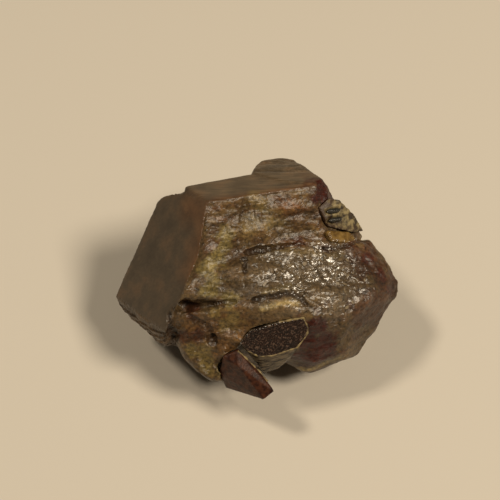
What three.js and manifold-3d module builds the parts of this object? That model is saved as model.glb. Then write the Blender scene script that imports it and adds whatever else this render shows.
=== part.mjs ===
// A stout bastnaesite crystal resting on a broken base, with the smaller grains that grew into it.
// Millimetres, +Z up. +X runs along the crystal from its clean end face to its etched tip, and -Y is
// the etched front. The origin is the middle of the bounding box, on the surface it rests on.
//
// The crystal is one solid: convex growth blocks joined together. Each block is the hull of the
// corners where its faces meet. The other grains are solids of their own that sit in sockets.

import * as THREE from 'three';
import { ConvexGeometry } from 'three/addons/geometries/ConvexGeometry.js';
import { mergeVertices } from 'three/addons/utils/BufferGeometryUtils.js';
import Module from 'manifold-3d';

const wasm = await Module();
wasm.setup();

// ---- Driving dimensions --------------------------------------------------------------------
const CONTACT_GAP = 0.32; // clearance between a grain and its socket
const LAYER_STEP = 0.12; // height of a growth layer's edge
const SMALLEST_DETAIL = 0.04; // slivers smaller than this are taken out after cutting
const MERGE_TOLERANCE = 1e-4; // corners closer than this are one corner

// The three good crystal faces all pass through the left end of the ridge, the highest point.
const RIDGE_LEFT = [-5.8, 3.9, 19.4];
const END_FACE = face([-0.72, -0.215, 0.656], RIDGE_LEFT); // smooth, looks up and left
const FRONT_FACE = face([0.3, -0.63, 0.72], RIDGE_LEFT); // etched, looks up and forward
const TOP_FACE = face([0, 0.448, 0.894], RIDGE_LEFT); // narrow, looks up and back

// The flat cut across the dark crystal.
const DARK_FACE = face([0.17, -0.78, 0.6], [1.7, -8.4, 9.4]);

// The flat broken base, from the left end round the front to the back.
const BASE_LEVEL = -3.0;
const BASE_OUTLINE = [
  [-9.8, 1.5],
  [-8.4, -2.6],
  [-5.8, -5.8],
  [-3.0, -6.2],
  [4.6, -3.8],
  [8.2, -4.2],
  [10.8, -2.0],
  [10.6, 3.6],
  [5.4, 8.0],
  [-4.6, 8.0],
];

// ---- Faces and solids ----------------------------------------------------------------------
function face(normal, point) {
  const distance = normal.reduce((sum, n, axis) => sum + n * point[axis], 0);
  return { normal, distance };
}

// The corner of a face that lies at (x, y).
function on({ normal, distance }, x, y) {
  return [x, y, (distance - normal[0] * x - normal[1] * y) / normal[2]];
}

// The same face moved outward.
function lifted({ normal, distance }, by) {
  return { normal, distance: distance + by * Math.hypot(...normal) };
}

function atBase(...indices) {
  return indices.map((i) => [...BASE_OUTLINE[i], BASE_LEVEL]);
}

function solidOf(corners) {
  const points = corners.map(([x, y, z]) => new THREE.Vector3(x, y, z));
  const hull = new ConvexGeometry(points);
  hull.deleteAttribute('normal');
  const merged = mergeVertices(hull, MERGE_TOLERANCE);
  const mesh = new wasm.Mesh({
    numProp: 3,
    vertProperties: new Float32Array(merged.attributes.position.array),
    triVerts: new Uint32Array(merged.index.array),
  });
  return new wasm.Manifold(mesh);
}

// The corners moved away from their middle, so that the hull's faces stand off by about the gap.
function swollen(corners, gap) {
  const centre = new THREE.Vector3();
  for (const [x, y, z] of corners) centre.add(new THREE.Vector3(x, y, z));
  centre.divideScalar(corners.length);
  return corners.map(([x, y, z]) => {
    const arm = new THREE.Vector3(x, y, z).sub(centre);
    const reach = arm.length();
    return arm.multiplyScalar((reach + 1.5 * gap) / reach).add(centre).toArray();
  });
}

function geometryOf(solid) {
  const mesh = solid.getMesh();
  const geometry = new THREE.BufferGeometry();
  geometry.setAttribute('position', new THREE.BufferAttribute(mesh.vertProperties, 3));
  geometry.setIndex(new THREE.BufferAttribute(mesh.triVerts, 1));
  geometry.computeVertexNormals();
  return geometry;
}

// ---- Growth blocks of the main crystal -----------------------------------------------------

// The clean left end: the smooth end face over a ribbed underside that narrows to a sharp tip.
function leftEndBlock() {
  return solidOf([
    RIDGE_LEFT,
    on(END_FACE, -17.6, 0.1), // the left tip
    on(END_FACE, -12.1, 8.4), // rear shoulder
    on(END_FACE, -11.2, 8.4),
    on(END_FACE, -9.4, 7.5), // foot of the step up to the top face
    on(END_FACE, -6.7, -1.6), // front edge
    on(END_FACE, -8.9, -4.6),
    on(END_FACE, -10.5, -5.5), // heel, beside the notch
    on(END_FACE, -10.7, -8.2), // lower front corner
    [-10.2, -7.0, 7.6],
    [-17.5, -0.5, 4.4], // below the tip
    [-15.3, -2.5, 5.0], // lower edge of the ribbed underside
    [-13.4, -5.2, 5.5],
    [-11.4, -7.4, 6.0],
    [-14.6, 4.6, 6.6], // rear, below the shoulder
    [-11.4, 9.2, 8.0],
    [-4.0, 9.6, 9.0],
    ...atBase(0, 1, 9),
  ]);
}

// The upper prism: the narrow top face behind its ridge, and the etched front face before it.
function upperBlock() {
  const leftSide = lifted(END_FACE, -LAYER_STEP);
  return solidOf([
    on(leftSide, -5.7, 3.9), // left end of the ridge
    on(leftSide, -8.8, 7.9), // rear left corner of the top face
    on(TOP_FACE, -1.1, 10.7),
    on(TOP_FACE, 6.8, 7.7), // right end of the ridge
    on(FRONT_FACE, 6.8, 7.5),
    [8.0, 9.2, 16.6], // right shoulder
    [13.1, 6.2, 9.2],
    on(FRONT_FACE, 9.4, 1.9), // lower edge of the front face
    on(FRONT_FACE, 2.0, -1.0),
    on(leftSide, -8.8, -4.5),
    [-9.8, 8.8, 8.0], // rear, below the top face
    [-4.0, 12.0, 7.6],
    [2.0, 13.4, 7.6],
    [8.6, 11.8, 7.4],
    [12.4, 7.6, 6.2],
    ...atBase(8, 9),
  ]);
}

// A thicker layer that stands out behind the top face.
function rearKnob() {
  const layer = lifted(TOP_FACE, LAYER_STEP);
  return solidOf([
    on(layer, -0.9, 10.9),
    on(layer, -0.3, 13.1),
    on(layer, 0.5, 14.1),
    on(layer, 2.8, 15.0),
    on(layer, 4.5, 14.6),
    on(layer, 6.2, 11.8),
    on(layer, 8.0, 9.1),
    on(layer, 6.4, 8.0),
    on(layer, 3.0, 8.6),
    [-0.4, 13.0, 8.4],
    [2.4, 14.6, 8.6],
    [6.4, 13.2, 8.8],
    [8.4, 9.6, 9.0],
  ]);
}

// The lower right body: a barrel of etched crystal that runs out to the right tip.
function lowerBlock() {
  return solidOf([
    [-8.6, -4.8, 12.8], // upper edge, where it stands out from the front face
    [-6.1, -3.8, 13.8],
    [-5.0, -2.4, 14.5],
    [-1.6, -0.3, 14.9],
    [1.4, 0.6, 14.6],
    [4.9, 1.6, 14.0],
    [8.6, 2.3, 13.1],
    [10.6, 2.8, 12.4],
    [13.6, 5.0, 10.7],
    [15.4, 3.0, 9.4],
    [17.3, 0.7, 7.7], // the right tip
    [17.1, -0.8, 6.5],
    [16.1, -1.8, 5.5],
    [14.9, -2.9, 4.6],
    [14.2, -4.3, 3.8],
    [13.1, -5.8, 3.0], // lower right edge
    [11.9, -7.1, 2.4],
    [9.9, -7.8, 2.0],
    [7.6, -8.5, 1.5],
    [6.4, -8.7, 1.2],
    [5.3, -8.7, 1.8],
    [13.4, -1.9, 10.8], // the bulging front
    [14.4, -3.0, 8.4],
    [12.6, -4.3, 9.4],
    [9.0, -4.2, 12.2],
    [3.6, -4.9, 13.0],
    [-2.1, -5.3, 13.2],
    [-6.1, -5.5, 12.8],
    [10.2, -7.2, 8.1],
    [6.4, -7.4, 10.3],
    [-1.0, -7.4, 11.2],
    [6.8, -9.2, 4.8],
    [9.8, -8.4, 4.4],
    [15.2, 3.4, 5.8], // rear, below the shoulder
    [12.6, 7.0, 4.6],
    [-8.0, -3.4, 9.0],
    ...atBase(4, 5, 6, 7),
  ]);
}

// The lower left corner, below the notch.
function footBlock() {
  return solidOf([
    [-9.9, -5.6, 10.6],
    [-7.9, -6.0, 11.5],
    [-5.3, -6.1, 12.1],
    [-2.6, -6.3, 12.0],
    [-10.2, -6.2, 9.4],
    [-8.8, -7.4, 8.9],
    [-6.8, -7.7, 9.9],
    [-3.8, -7.9, 10.4],
    [-2.1, -8.3, 9.8],
    [-6.2, -9.0, 7.4],
    [-3.0, -9.5, 8.0],
    [-9.6, -8.0, 6.0], // lower edge
    [-8.4, -9.4, 6.0],
    [-7.4, -10.9, 5.6],
    [-5.8, -11.8, 4.8],
    [-4.3, -11.9, 4.9],
    [-3.0, -9.4, 2.6],
    [-2.6, -3.0, 6.0],
    ...atBase(1, 2, 3),
  ]);
}

// The solid heart that joins the blocks behind the notch and the grains.
function heart() {
  return solidOf([
    [-9.0, -4.4, 10.4],
    [-5.0, -5.4, 11.0],
    [-3.6, -6.5, 11.8],
    [-1.2, -7.2, 11.0],
    [-2.4, -8.2, 9.4],
    [5.0, -5.4, 10.8],
    [-8.2, -5.4, 2.6],
    [-3.4, -7.6, 2.2],
    [2.2, -7.2, 3.2],
    [5.4, -7.6, 3.2],
    [-1.0, -7.4, 7.4],
    [3.8, -6.8, 8.2],
    [8.0, 4.0, 9.0],
    [-6.0, 6.0, 9.0],
    ...atBase(1, 2, 3, 4, 7, 8),
  ]);
}

// The open crack that runs in from the left edge between the front face and the foot.
const NOTCH = [
  [-9.0, -4.9, 12.4],
  [-6.1, -5.6, 13.2],
  [-3.3, -5.7, 12.9],
  [-10.4, -6.1, 11.4],
  [-7.9, -6.5, 12.2],
  [-5.3, -6.4, 12.8],
  [-9.8, -4.0, 9.9],
  [-6.2, -4.6, 10.5],
  [-4.2, -5.1, 11.4],
];

// A small angular pit in the foot.
const PIT = [
  [-5.9, -8.1, 10.2],
  [-5.1, -8.3, 10.1],
  [-5.0, -9.3, 8.7],
  [-5.6, -9.4, 8.5],
  [-5.6, -7.6, 8.6],
  [-5.2, -7.8, 8.2],
];

// ---- Grains that grew into the crystal -----------------------------------------------------

// A short dark crystal, cut across by a flat face, with a grey side face under it.
const DARK_OUTLINE = [
  [-2.1, -9.1],
  [-1.0, -8.1],
  [0.7, -7.6],
  [2.4, -7.1],
  [5.2, -6.5],
  [5.8, -7.2],
  [5.6, -7.8],
  [4.5, -8.8],
  [1.6, -9.7],
  [0.0, -9.9],
  [-1.2, -9.6],
];
const DARK_CRYSTAL = [
  ...DARK_OUTLINE.map(([x, y]) => on(DARK_FACE, x, y)),
  [0.7, -10.4, 4.9], // lower point of the side face
  [2.4, -9.8, 4.9],
  [3.7, -9.1, 5.9],
  [-0.4, -6.6, 8.6], // root, inside the main crystal
  [2.0, -6.0, 9.4],
  [4.2, -5.8, 9.0],
  [1.6, -7.6, 5.4],
];

// The clear space before the flat face.
const DARK_OPENING = [
  ...DARK_OUTLINE.map(([x, y]) => on(DARK_FACE, x, y)),
  ...DARK_OUTLINE.map(([x, y]) => on(lifted(DARK_FACE, 2.0), x + 0.2, y - 0.8)),
];

// A brown blade that points forward and to the right from the foot.
const WEDGE_CRYSTAL = [
  [1.8, -13.0, 5.2], // the free tip
  [0.6, -13.7, 4.5],
  [0.9, -12.3, 4.0],
  [0.1, -11.1, 6.4], // right edge, beside the dark crystal
  [-2.4, -9.8, 8.9],
  [-4.0, -10.1, 8.2], // upper end, on the foot
  [-2.3, -11.3, 8.1], // ridge between the two front faces
  [-4.5, -10.7, 5.3],
  [-3.8, -11.3, 3.0],
  [-0.8, -10.8, 4.4], // rear
  [-3.4, -9.2, 5.6],
  [-2.4, -8.9, 7.8],
];

// Pale feldspar on the right shoulder.
const FELDSPAR = [
  [7.2, 6.0, 15.6],
  [8.5, 7.1, 15.9],
  [9.7, 7.3, 15.2],
  [11.6, 6.9, 12.8],
  [12.9, 6.1, 10.6],
  [11.6, 5.3, 11.4],
  [8.4, 4.4, 13.9],
  [6.6, 6.6, 13.6],
  [9.0, 7.8, 12.4],
  [10.8, 7.2, 9.8],
];

// A honey-yellow grain between the feldspar and the lower body.
const YELLOW_GRAIN = [
  [8.2, 3.8, 13.5],
  [10.9, 4.6, 12.1],
  [11.6, 4.3, 11.4],
  [10.6, 3.4, 12.1],
  [8.8, 3.0, 13.0],
  [7.8, 4.2, 11.6],
  [9.8, 4.9, 10.4],
];

// Two black bars laid side by side in the feldspar: the ends of each one's centre line.
const BLACK_BAR_UPPER = bar([8.1, 5.6, 15.2], [9.9, 6.4, 14.5]);
const BLACK_BAR_LOWER = bar([8.4, 4.9, 14.3], [10.1, 5.7, 13.7]);

// A spindle, pointed at both ends, with a square girdle near each end.
function bar(from, to) {
  const halfWidth = 0.3;
  const halfHeight = 0.35;
  const outward = new THREE.Vector3(0.76, -0.28, 0.58).normalize();
  const start = new THREE.Vector3(...from);
  const along = new THREE.Vector3(...to).sub(start);
  const across = new THREE.Vector3().crossVectors(along, outward).normalize();
  const corners = [from, to];
  for (const share of [0.25, 0.75]) {
    const girdle = start.clone().addScaledVector(along, share);
    for (const side of [-1, 1]) {
      corners.push(girdle.clone().addScaledVector(across, side * halfWidth).toArray());
      corners.push(girdle.clone().addScaledVector(outward, side * halfHeight).toArray());
    }
  }
  return corners;
}

// ---- Joining and cutting -------------------------------------------------------------------
function withSockets(solid, grains) {
  return grains.reduce((left, grain) => left.subtract(solidOf(swollen(grain, CONTACT_GAP))), solid);
}

function mainCrystal() {
  const blocks = [upperBlock(), rearKnob(), lowerBlock(), footBlock(), heart()];
  const joined = blocks.reduce((whole, block) => whole.add(block), leftEndBlock());
  const hollows = [NOTCH, PIT, swollen(DARK_OPENING, CONTACT_GAP)];
  const opened = hollows.reduce((left, hollow) => left.subtract(solidOf(hollow)), joined);
  const socketed = withSockets(opened, [DARK_CRYSTAL, WEDGE_CRYSTAL, FELDSPAR, YELLOW_GRAIN]);
  return socketed.asOriginal().simplify(SMALLEST_DETAIL);
}

function darkCrystal() {
  return withSockets(solidOf(DARK_CRYSTAL), [WEDGE_CRYSTAL]);
}

function feldsparGrain() {
  const socketed = withSockets(solidOf(FELDSPAR), [YELLOW_GRAIN, BLACK_BAR_UPPER, BLACK_BAR_LOWER]);
  return socketed.asOriginal().simplify(SMALLEST_DETAIL);
}

// ---- The specimen --------------------------------------------------------------------------
function piece(name, solid, color, roughness) {
  const material = new THREE.MeshStandardMaterial({ color, roughness, metalness: 0 });
  const mesh = new THREE.Mesh(geometryOf(solid), material);
  mesh.name = name;
  return mesh;
}

const specimen = new THREE.Group();
specimen.add(
  piece('main_crystal', mainCrystal(), 0x6a4f32, 0.45),
  piece('dark_crystal', darkCrystal(), 0x271810, 0.4),
  piece('wedge_crystal', solidOf(WEDGE_CRYSTAL), 0x473221, 0.35),
  piece('feldspar_grain', feldsparGrain(), 0xb5ab93, 0.5),
  piece('yellow_grain', solidOf(YELLOW_GRAIN), 0x8f6a2c, 0.3),
  piece('black_bar_upper', solidOf(BLACK_BAR_UPPER), 0x24231e, 0.4),
  piece('black_bar_lower', solidOf(BLACK_BAR_LOWER), 0x24231e, 0.4),
);

// Stand it on its base, with the origin under the middle of its box.
const box = new THREE.Box3().setFromObject(specimen);
const middle = box.getCenter(new THREE.Vector3());
specimen.position.set(-middle.x, -middle.y, -box.min.z);
specimen.updateMatrixWorld(true);

export default specimen;
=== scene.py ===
# %% [markdown]
# # A bastnaesite crystal
#
# Bastnaesite is a heavy brown mineral that grows as stout six-sided crystals. This one broke off
# its rock and lies on the break. Its end face is smooth and waxy, its front was etched by hot
# water into a rough glittering skin, and a few other crystals grew into it.
#
# The solids come from a imported CAD part, in metres. Here each one gets the skin, the colours and
# the light that make it look like the real mineral. The steps are: open the part, set up the
# stage, shape the main crystal's skin, mark where each feature lies, grow the etched relief, paint
# it, and add the small crystals, the flakes and the crust.

import math

import bmesh
import bpy
import numpy as np
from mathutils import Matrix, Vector, noise
from mathutils.bvhtree import BVHTree


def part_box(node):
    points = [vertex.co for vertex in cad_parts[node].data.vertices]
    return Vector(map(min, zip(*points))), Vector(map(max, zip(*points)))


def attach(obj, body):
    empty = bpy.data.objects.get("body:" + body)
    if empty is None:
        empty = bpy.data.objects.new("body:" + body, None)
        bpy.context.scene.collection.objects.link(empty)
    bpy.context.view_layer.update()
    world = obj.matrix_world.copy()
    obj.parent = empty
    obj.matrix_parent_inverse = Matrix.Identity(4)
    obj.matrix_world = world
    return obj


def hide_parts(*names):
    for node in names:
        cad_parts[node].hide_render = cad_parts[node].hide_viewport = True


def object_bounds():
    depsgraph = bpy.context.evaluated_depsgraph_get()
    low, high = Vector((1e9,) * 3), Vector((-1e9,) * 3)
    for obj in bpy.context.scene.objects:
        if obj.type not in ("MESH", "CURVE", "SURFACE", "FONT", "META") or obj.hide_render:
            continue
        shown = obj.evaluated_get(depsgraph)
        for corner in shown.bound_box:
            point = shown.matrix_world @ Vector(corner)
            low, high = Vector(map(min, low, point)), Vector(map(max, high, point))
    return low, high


MM = 0.001
SAME_PLACE = 1e-3 * MM  # points closer than this are one point
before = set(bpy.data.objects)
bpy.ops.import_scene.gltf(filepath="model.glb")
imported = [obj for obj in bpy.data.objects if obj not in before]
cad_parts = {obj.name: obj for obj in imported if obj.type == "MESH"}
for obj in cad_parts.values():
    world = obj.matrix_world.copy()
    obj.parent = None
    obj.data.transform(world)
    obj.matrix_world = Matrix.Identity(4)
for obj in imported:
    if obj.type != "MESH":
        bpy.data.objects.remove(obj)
cad_low, cad_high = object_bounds()
main_low, main_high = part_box("main_crystal")
print("CAD box in mm:", [round(side / MM, 2) for side in cad_high - cad_low])

# %% [markdown]
# ## Helpers
#
# Colours are written as the hex values a paint program shows. Those are sRGB, and a shader wants
# linear light, so one function turns them. Node trees are built in code with one function that
# adds a node, sets it and links it, so that a tree reads as a list of what goes into what.


# %% Colours, nodes and places
def linear(hex_colour):
    channels = [int(hex_colour[i : i + 2], 16) / 255 for i in (1, 3, 5)]
    return [c / 12.92 if c <= 0.04045 else ((c + 0.055) / 1.055) ** 2.4 for c in channels] + [1.0]


def put(tree, kind, inputs=(), **settings):
    """Adds a node. Settings are its own properties; an input is a number or a socket to link."""
    node = tree.nodes.new(kind)
    for name, value in settings.items():
        setattr(node, name, value)
    for key, value in dict(inputs).items():
        if isinstance(value, bpy.types.NodeSocket):
            tree.links.new(value, node.inputs[key])
        else:
            node.inputs[key].default_value = value
    return node


def spot(x, y, z):
    """A place in the main crystal's box: 0 is its low side and 1 its high side."""
    share = (x, y, z)
    return Vector([main_low[i] + share[i] * (main_high[i] - main_low[i]) for i in range(3)])


def add_piece(name, mesh, material, cad_nodes=()):
    """Makes the mesh a piece of the specimen that stands for its CAD nodes."""
    piece = bpy.data.objects.new(name, mesh)
    bpy.context.scene.collection.objects.link(piece)
    mesh.materials.clear()
    mesh.materials.append(material)
    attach(piece, "root")
    if cad_nodes:
        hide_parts(*cad_nodes)
    print(name, len(mesh.polygons), "faces")


# %% [markdown]
# ## Stage
#
# The crystal lies on plain pale paper, seen from well above, so the camera looks down at 55
# degrees. A long lens keeps the prism's edges nearly parallel. Two soft lamps hang over it. The
# stronger one, to the right and a little in front, makes the glints and the deep shadow on the
# left. The weaker one, to the left, lights the end face and throws the faint shadow on the right.

# %% The camera
box_size = cad_high - cad_low
box_middle = (cad_high + cad_low) / 2
CAMERA_ELEVATION = math.radians(55)
CAMERA_DISTANCE = 150 * MM
FRAME_WIDTH, LENS = 36.0, 90.0  # mm
AIM_SHIFT = (-0.0232, 0.080, 0.128)  # from the middle of the box, as shares of its sides
aim = box_middle + Vector([share * side for share, side in zip(AIM_SHIFT, box_size)])
towards_camera = Vector((0, -math.cos(CAMERA_ELEVATION), math.sin(CAMERA_ELEVATION)))

camera_data = bpy.data.cameras.new("camera")
camera_data.lens = LENS
camera_data.sensor_width = FRAME_WIDTH
camera_data.clip_start = 0.005
camera_data.clip_end = 5.0
camera = bpy.data.objects.new("camera", camera_data)
bpy.context.scene.collection.objects.link(camera)
camera.location = aim + CAMERA_DISTANCE * towards_camera
camera.rotation_euler = (-towards_camera).to_track_quat("-Z", "Y").to_euler()
bpy.context.scene.camera = camera
bpy.context.scene.view_settings.view_transform = "Standard"
print("camera aims at, mm:", [round(side / MM, 1) for side in aim])

# %% The paper
PAPER_REACH = 1.5  # metres, so far that its edge never shows
PAPER_CORNERS = ((-1, -1), (1, -1), (1, 1), (-1, 1))
corners = [(PAPER_REACH * x, PAPER_REACH * y, 0) for x, y in PAPER_CORNERS]
paper_mesh = bpy.data.meshes.new("paper")
paper_mesh.from_pydata(corners, [], [(0, 1, 2, 3)])
paper = bpy.data.objects.new("paper", paper_mesh)
bpy.context.scene.collection.objects.link(paper)

# Uncoated paper, pressed but not glazed: matt, with hardly any shine.
paper_material = bpy.data.materials.new("cream paper")
paper_material.use_nodes = True
paper_shader = paper_material.node_tree.nodes["Principled BSDF"]
paper_shader.inputs["Base Color"].default_value = linear("#d2cbc0")
paper_shader.inputs["Roughness"].default_value = 0.9
paper_shader.inputs["Specular IOR Level"].default_value = 0.1
paper_mesh.materials.append(paper_material)

# %% The lamps and the room
KEY_DIRECTION = Vector((0.66, -0.31, 1.0)).normalized()
SIDE_DIRECTION = Vector((-0.55, 0.08, 1.0)).normalized()
LAMP_DISTANCE = 0.60  # metres
WARM_WHITE = "#fff0d7"
ROOM_LIGHT = 0.05


def add_lamp(name, direction, size, power):
    """A round soft lamp that points at the crystal. Its size is in metres, its power in watts."""
    data = bpy.data.lights.new(name, "AREA")
    data.shape = "DISK"
    data.size = size
    data.energy = power
    data.color = linear(WARM_WHITE)[:3]
    lamp = bpy.data.objects.new(name, data)
    bpy.context.scene.collection.objects.link(lamp)
    lamp.location = box_middle + LAMP_DISTANCE * direction
    lamp.rotation_euler = (-direction).to_track_quat("-Z", "Y").to_euler()


add_lamp("key", KEY_DIRECTION, 0.17, 2.85)
add_lamp("side", SIDE_DIRECTION, 0.10, 1.45)

world = bpy.data.worlds.new("room")
bpy.context.scene.world = world
world.use_nodes = True
room = world.node_tree.nodes["Background"]
room.inputs["Color"].default_value = linear(WARM_WHITE)
room.inputs["Strength"].default_value = ROOM_LIGHT

# %% [markdown]
# ## The main crystal's skin
#
# The CAD solid has the right faces but they are flat and meet in sharp corners. The real skin is
# fine-grained, so the solid is remeshed into even cells of about 0.2 mm and each point is moved.
# Where a point belongs is read from the CAD face under it: the end face and the top face grew
# clean and stay flat, the ribbed underside gets its growth steps, and the rest is etched.

# %% Remesh the solid into an even skin
SKIN_CELL = 0.19 * MM


def merged_copy(node_name):
    """A CAD node's mesh with its loose triangles joined at their corners."""
    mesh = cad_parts[node_name].data.copy()
    shape = bmesh.new()
    shape.from_mesh(mesh)
    bmesh.ops.remove_doubles(shape, verts=shape.verts, dist=SAME_PLACE)
    shape.to_mesh(mesh)
    shape.free()
    return mesh


def modified(mesh, kind, **settings):
    """The mesh as one modifier leaves it."""
    holder = bpy.data.objects.new("holder", mesh)
    bpy.context.scene.collection.objects.link(holder)
    modifier = holder.modifiers.new("step", kind)
    for name, value in settings.items():
        setattr(modifier, name, value)
    graph = bpy.context.evaluated_depsgraph_get()
    result = bpy.data.meshes.new_from_object(holder.evaluated_get(graph))
    bpy.data.objects.remove(holder)
    return result


def remeshed(mesh, cell):
    return modified(mesh, "REMESH", mode="VOXEL", voxel_size=cell)


def points_of(mesh, kind="co"):
    """Every point's place as a row of an array, or its normal."""
    flat = np.empty(3 * len(mesh.vertices), np.float32)
    mesh.vertices.foreach_get(kind, flat)
    return flat.reshape(-1, 3).astype(float)


def normals_of(mesh):
    return points_of(mesh, "normal")


def move_points(mesh, points):
    mesh.vertices.foreach_set("co", points.astype(np.float32).ravel())
    mesh.update()


def tree_of(mesh):
    """Finds the nearest place on the mesh."""
    corners = [v.co.copy() for v in mesh.vertices]
    return BVHTree.FromPolygons(corners, [tuple(p.vertices) for p in mesh.polygons])


cad_main = merged_copy("main_crystal")
skin = remeshed(cad_main, SKIN_CELL)
print("skin:", len(skin.vertices), "points,", len(skin.polygons), "faces")

# %% Find the CAD face under each point
END_NORMAL = Vector((-0.72, -0.215, 0.656)).normalized()
TOP_NORMAL = Vector((0, 0.448, 0.894)).normalized()
FRONT_NORMAL = Vector((0.3, -0.63, 0.72)).normalized()
SAME_FACE = math.cos(math.radians(4))
RIBS_END = 0.225  # the ribbed facets lie left of this share of the length,
RIBS_FORWARD, RIBS_UP = -0.35, 0.45  # and lean at least this far forward and down

cad_tree = tree_of(cad_main)
points = points_of(skin)
count = len(points)
under = np.empty((count, 3))
for i, point in enumerate(points):
    under[i] = cad_tree.find_nearest(Vector(point))[1]

on_end = (under @ np.array(END_NORMAL) > SAME_FACE).astype(float)
on_top = (under @ np.array(TOP_NORMAL) > SAME_FACE).astype(float)
on_front = (under @ np.array(FRONT_NORMAL) > SAME_FACE).astype(float)
at_left = points[:, 0] < spot(RIBS_END, 0, 0).x
on_ribs = (at_left & (under[:, 1] < RIBS_FORWARD) & (under[:, 2] < RIBS_UP)).astype(float)
for face_name, on_face in (("end", on_end), ("top", on_top), ("front", on_front), ("ribs", on_ribs)):
    print("points on", face_name, int(on_face.sum()))

# %% Smooth fields over the skin
edge_ends = np.empty(2 * len(skin.edges), np.int32)
skin.edges.foreach_get("vertices", edge_ends)
edge_a, edge_b = edge_ends.reshape(-1, 2).T
neighbours = np.bincount(edge_a, minlength=count) + np.bincount(edge_b, minlength=count)


def neighbour_mean(field):
    """The mean of each point's neighbours, for a field of numbers or of vectors."""
    columns = field.reshape(count, -1)
    sums = [
        np.bincount(edge_a, column[edge_b], count) + np.bincount(edge_b, column[edge_a], count)
        for column in columns.T
    ]
    return (np.stack(sums, 1) / neighbours[:, None]).reshape(field.shape)


def softened(field, rounds):
    """The field with its edges blurred, a little more with each round."""
    for _ in range(rounds):
        field = 0.5 * field + 0.5 * neighbour_mean(field)
    return field


clean = softened(np.maximum(on_end, on_top), 2)
ribs = softened(on_ribs, 3)

# %% [markdown]
# The CAD's lower body is made of flat facets, and the real one is a rounded, etched barrel. The
# facets are melted together by moving each point towards the middle of its neighbours, round
# after round, where nothing grew clean. The first rounds also dull the edges of the clean faces.
# The flat base is left out, and the sharp right tip nearly so.

# %% Melt the facets
MELT_ROUNDS, EDGE_ROUNDS = 22, 9
MELT_STEP, EDGE_MELT = 0.55, 0.6
BASE_KEPT = 0.4 * MM
TIP, TIP_KEPT = (1.0, 0.468, 0.478), 2.6 * MM

melt = (1 - softened(np.maximum(on_end, on_top), 3))[:, None]
at_base = points[:, 2] < BASE_KEPT
at_tip = np.linalg.norm(points - spot(*TIP), axis=1) < TIP_KEPT
keen = 1 - 0.92 * softened(at_tip.astype(float), 8)[:, None]
for turn in range(MELT_ROUNDS):
    weight = keen * (np.maximum(melt, EDGE_MELT) if turn < EDGE_ROUNDS else melt)
    weight[at_base] = 0
    points = points + MELT_STEP * weight * (neighbour_mean(points) - points)
move_points(skin, points)
skin_normals = normals_of(skin)
print("points kept at the base and the tip:", int(at_base.sum()), int(at_tip.sum()))

# %% [markdown]
# The CAD leaves a clearance round each small crystal, and the real ones have none. Each point of
# a socket's wall that looks at the crystal is pulled up to it, and the seam is then run smooth.

# %% Close the sockets
GRAINS = ("dark_crystal", "wedge_crystal", "feldspar_grain", "yellow_grain")
CLOSING_REACH = 0.95 * MM
TOUCH = 0.02 * MM  # what is left of the clearance
LEAST_FACING, PULL = 0.15, 2.5
SEAM_ROUNDS, RUN_STEP = 7, 0.6
cad_grains = {name: merged_copy(name) for name in GRAINS}
seam = np.zeros(count)
for grain in cad_grains.values():
    tree = tree_of(grain)
    for i in range(count):
        hit, _, _, gap = tree.find_nearest(Vector(points[i]), CLOSING_REACH)
        if hit is None:
            continue
        arm = np.array(hit) - points[i]
        facing = float(arm @ skin_normals[i]) / max(gap, 1e-9)
        if facing > LEAST_FACING:
            points[i] += arm * max(0.0, 1 - TOUCH / max(gap, 1e-9)) * min(1.0, PULL * facing)
        seam[i] = max(seam[i], 1 - gap / CLOSING_REACH)
near_seam = (softened((seam > 0).astype(float), 2) > 0.2).astype(float)[:, None]
for _ in range(SEAM_ROUNDS):
    points = points + RUN_STEP * near_seam * (neighbour_mean(points) - points)
move_points(skin, points)
print("points near a seam:", int((seam > 0).sum()))

# %% [markdown]
# ## Where each feature lies
#
# A crystal carries its history as marks: cracks, edges of layers, red zones where iron got in,
# golden spots where the light goes deeper. Each is a few places on the skin, written as shares of
# the crystal's box, and turns into a field: 1 at the mark, fading to 0 at its reach. A slow noise
# bends every edge, so that nothing ends in a ruled line.

# %% Fields around marks
skin_tree = tree_of(skin)
WOBBLE_SIZE = 1.3 * MM
FINE_WOBBLE_SIZE = 0.35 * WOBBLE_SIZE
SAMPLE_SPACING = 0.2 * MM
wobble = np.array([noise.noise(Vector(p) / WOBBLE_SIZE) for p in points])
fine_wobble = np.array([noise.noise(Vector(p) / FINE_WOBBLE_SIZE) for p in points])


def on_skin(places):
    """Samples along straight runs between the places, dropped onto the skin."""
    spots = [spot(*place) for place in places]
    samples = []
    for start, end in zip(spots, spots[1:]):
        steps = max(1, round((end - start).length / SAMPLE_SPACING))
        samples += [start.lerp(end, k / steps) for k in range(steps)]
    samples.append(spots[-1])
    return np.array([skin_tree.find_nearest(p)[0] for p in samples])


def fade(samples, reach, unevenness=0.5):
    """1 on the samples, falling to 0 at the reach."""
    nearest = np.full(count, 1e9)
    for sample in samples:
        nearest = np.minimum(nearest, np.linalg.norm(points - sample, axis=1))
    edge = reach * (1 + unevenness * (wobble + 0.5 * fine_wobble))
    share = np.clip(1 - nearest / np.maximum(edge, 0.1 * reach), 0, 1)
    return share * share * (3 - 2 * share)


def line(places, reach, unevenness=0.5):
    """A mark along straight runs between the places."""
    return fade(on_skin(places), reach, unevenness)


def blobs(places, reach, unevenness=0.8):
    """Patches round the places, full over most of their width."""
    middles = np.array([skin_tree.find_nearest(spot(*p))[0] for p in places])
    return np.clip(1.7 * fade(middles, reach, unevenness), 0, 1)


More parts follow.
